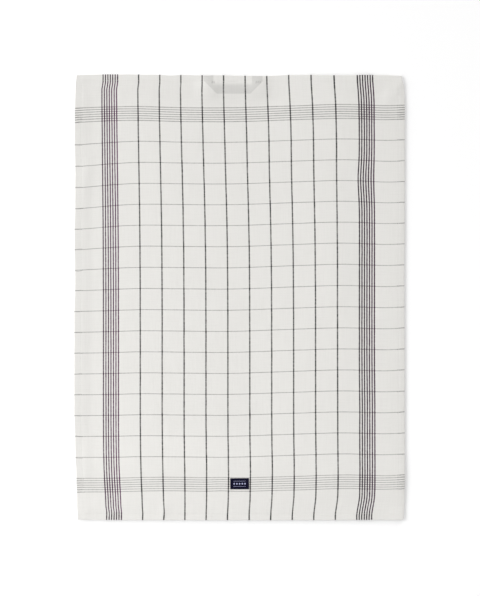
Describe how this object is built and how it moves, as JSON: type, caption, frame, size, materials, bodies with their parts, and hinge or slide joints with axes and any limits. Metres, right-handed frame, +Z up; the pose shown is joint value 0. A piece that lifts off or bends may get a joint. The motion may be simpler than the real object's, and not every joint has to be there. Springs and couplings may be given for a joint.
{
  "type": "tea towel",
  "caption": "Flat-lying woven cotton tea towel with narrow hems, a windowpane check with striped borders, a tape hanging loop under one end and a small woven label.",
  "frame": {"origin": "middle of the towel's outline, on the surface that it lies on", "axes": "+X across the towel's width, +Y along its length towards the end with the hanging loop, +Z up out of its face"},
  "size_m": [0.5101, 0.69, 0.0045],
  "materials": {
    "cloth": "plain woven cotton, off-white with charcoal stripes",
    "tape": "off-white cotton tape",
    "label": "dark navy woven label with a pale motif"
  },
  "bodies": {
    "root": {"towel_cloth": "cloth", "hanging_loop": "tape", "sewn_label": "label"}
  },
  "joints": []
}
